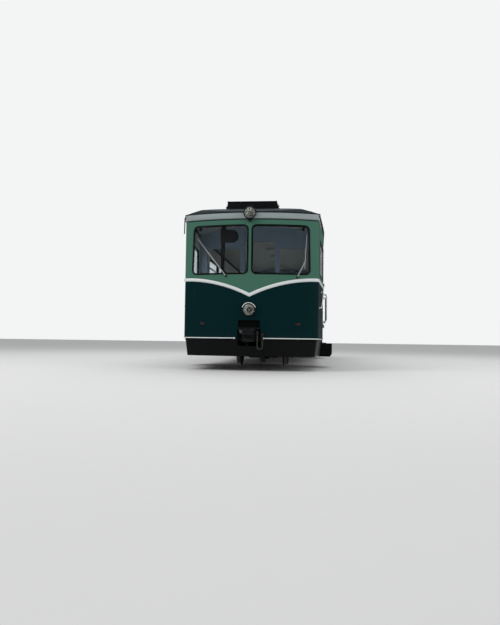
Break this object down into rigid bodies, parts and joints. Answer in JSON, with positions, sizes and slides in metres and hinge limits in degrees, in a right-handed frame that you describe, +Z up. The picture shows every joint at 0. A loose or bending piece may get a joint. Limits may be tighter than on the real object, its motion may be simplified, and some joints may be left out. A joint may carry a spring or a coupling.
{
  "type": "rack railway railcar",
  "caption": "Double-ended electric rack railcar with a bowed two-tone front, hinged doors, cog-wheel axles and a folding roof collector.",
  "frame": {"origin": "middle of the car in plan, at the height of the flange tips", "axes": "+X across the car, +Y along it from end A in the picture to end B, +Z up"},
  "size_m": [3.096, 11.94, 3.5386],
  "materials": {
    "green_paint": "satin two-tone green paint, pale above the band and very dark below",
    "roof_paint": "matt grey roof paint",
    "cornice_paint": "light grey paint",
    "black_paint": "satin black paint",
    "floor_board": "covered boards",
    "rubber": "black rubber",
    "glass": "clear",
    "lamp_glass": "ribbed",
    "bright_trim": "white painted half-round",
    "sash_metal": "brushed, slightly dull",
    "chrome": "polished",
    "lamp_paint": "dark satin paint",
    "red_lens": "ruby",
    "wheel_steel": "worn, bright on the tread",
    "cast_iron": "oily dark",
    "frame_paint": "dusty black",
    "collector_paint": "dull red-brown oxide paint",
    "inner_panel": "varnished veneer",
    "desk_paint": "grey-green enamel",
    "seat_cover": "green"
  },
  "bodies": {
    "car": {"cab_front_a": "green_paint", "cab_front_b": "green_paint", "side_wall_right": "green_paint", "side_wall_left": "green_paint", "roof": "roof_paint", "front_cornices": "cornice_paint", "floor": "floor_board", "underframe": "frame_paint", "windscreens": "glass", "windscreen_seals": "rubber", "side_windows": "glass", "side_window_seals": "rubber", "sash_rails": "sash_metal", "waist_bands": "bright_trim", "lower_trims": "bright_trim", "headlamps": "lamp_paint", "headlamp_lenses": "lamp_glass", "headlamp_visors": "chrome", "tail_lamps": "red_lens", "axle_boxes": "cast_iron", "leaf_springs": "frame_paint", "traction_motors": "frame_paint", "gear_cases": "frame_paint", "brake_gear": "cast_iron", "air_tanks": "frame_paint", "equipment_cases": "frame_paint", "aprons": "black_paint", "door_steps": "black_paint", "couplers": "cast_iron", "brake_pipes": "frame_paint", "brake_hoses": "rubber", "grab_rails": "chrome", "rain_spouts": "black_paint", "wipers": "black_paint", "roof_boxes": "black_paint", "cab_partitions": "inner_panel", "control_desks": "desk_paint", "driver_seats": "seat_cover", "sun_blinds": "black_paint", "saloon_benches": "seat_cover", "collector_base": "collector_paint"},
    "wheelset_a": {"wheelset_a": "wheel_steel"},
    "wheelset_b": {"wheelset_b": "wheel_steel"},
    "door_a_right": {"door_a_right": "green_paint", "door_seal_a_right": "rubber", "door_glass_a_right": "glass"},
    "door_a_left": {"door_a_left": "green_paint", "door_seal_a_left": "rubber", "door_glass_a_left": "glass"},
    "door_b_right": {"door_b_right": "green_paint", "door_seal_b_right": "rubber", "door_glass_b_right": "glass"},
    "door_b_left": {"door_b_left": "green_paint", "door_seal_b_left": "rubber", "door_glass_b_left": "glass"},
    "lower_arm_front": {"lower_arm_front": "collector_paint"},
    "lower_arm_rear": {"lower_arm_rear": "collector_paint"},
    "upper_arm_front": {"upper_arm_front": "collector_paint"},
    "upper_arm_rear": {"upper_arm_rear": "collector_paint"},
    "collector_head": {"collector_head": "collector_paint"}
  },
  "joints": [
    {"name": "wheelset_a_spin", "type": "hinge", "parent": "car", "child": "wheelset_a", "pos_m": [0, -2.8, 0.378], "axis": [1, 0, 0], "continuous": true},
    {"name": "wheelset_b_spin", "type": "hinge", "parent": "car", "child": "wheelset_b", "pos_m": [0, 2.8, 0.378], "axis": [1, 0, 0], "continuous": true},
    {"name": "door_a_right_hinge", "type": "hinge", "parent": "car", "child": "door_a_right", "pos_m": [1.374, -3.777, 1.316], "axis": [0, 0, -1], "range_deg": [0, 95]},
    {"name": "door_a_left_hinge", "type": "hinge", "parent": "car", "child": "door_a_left", "pos_m": [-1.374, -3.777, 1.316], "axis": [0, 0, 1], "range_deg": [0, 95]},
    {"name": "door_b_right_hinge", "type": "hinge", "parent": "car", "child": "door_b_right", "pos_m": [1.374, 3.777, 1.316], "axis": [0, 0, 1], "range_deg": [0, 95]},
    {"name": "door_b_left_hinge", "type": "hinge", "parent": "car", "child": "door_b_left", "pos_m": [-1.374, 3.777, 1.316], "axis": [0, 0, -1], "range_deg": [0, 95]},
    {"name": "lower_front_raise", "type": "hinge", "parent": "car", "child": "lower_arm_front", "pos_m": [0, -3.4, 3.263], "axis": [-1, 0, 0], "range_deg": [0, 50]},
    {"name": "lower_rear_raise", "type": "hinge", "parent": "car", "child": "lower_arm_rear", "pos_m": [0, -3.12, 3.263], "axis": [1, 0, 0], "range_deg": [0, 50]},
    {"name": "front_knee", "type": "hinge", "parent": "lower_arm_front", "child": "upper_arm_front", "pos_m": [0, -4.29781, 3.32578], "axis": [1, 0, 0], "range_deg": [0, 100]},
    {"name": "rear_knee", "type": "hinge", "parent": "lower_arm_rear", "child": "upper_arm_rear", "pos_m": [0, -2.22219, 3.32578], "axis": [-1, 0, 0], "range_deg": [0, 100]},
    {"name": "head_pivot", "type": "hinge", "parent": "upper_arm_front", "child": "collector_head", "pos_m": [0, -3.4, 3.38856], "axis": [-1, 0, 0], "range_deg": [0, 50]}
  ],
  "couplings": [
    {"joint": "lower_rear_raise", "follows": "lower_front_raise", "ratio": 1},
    {"joint": "front_knee", "follows": "lower_front_raise", "ratio": 2},
    {"joint": "rear_knee", "follows": "lower_front_raise", "ratio": 2},
    {"joint": "head_pivot", "follows": "lower_front_raise", "ratio": 1}
  ]
}
